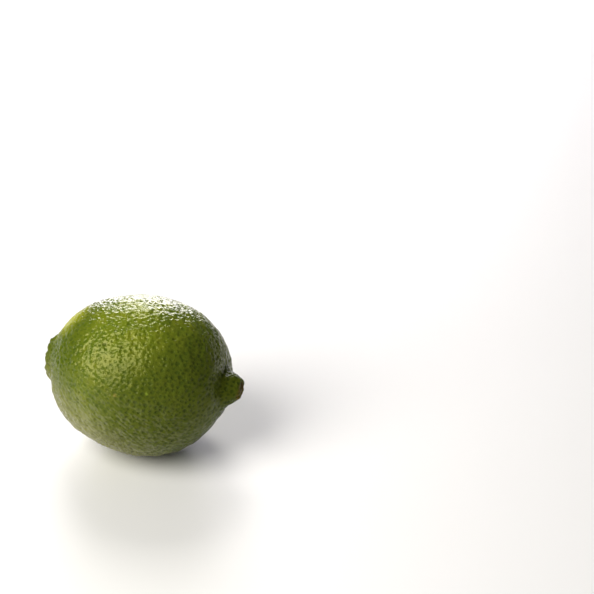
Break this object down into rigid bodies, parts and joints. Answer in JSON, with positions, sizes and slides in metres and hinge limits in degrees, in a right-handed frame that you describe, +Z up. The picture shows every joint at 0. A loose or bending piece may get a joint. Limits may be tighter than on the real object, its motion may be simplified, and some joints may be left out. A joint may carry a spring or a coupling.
{
  "type": "lime",
  "caption": "Whole fresh green lime lying on its side, with a knob at the blossom end and a pleated collar round the dry calyx at the stem end.",
  "frame": {"origin": "on the surface that the lime rests on, under the middle of its bounding box", "axes": "+X runs along the fruit from the stem end to the nipple, +Z is up, +Y is the side away from the camera"},
  "size_m": [0.0642, 0.051, 0.0503],
  "materials": {
    "peel": "gloss",
    "dry_calyx": "matte"
  },
  "bodies": {
    "root": {"fruit": "peel", "calyx_button": "dry_calyx"}
  },
  "joints": []
}
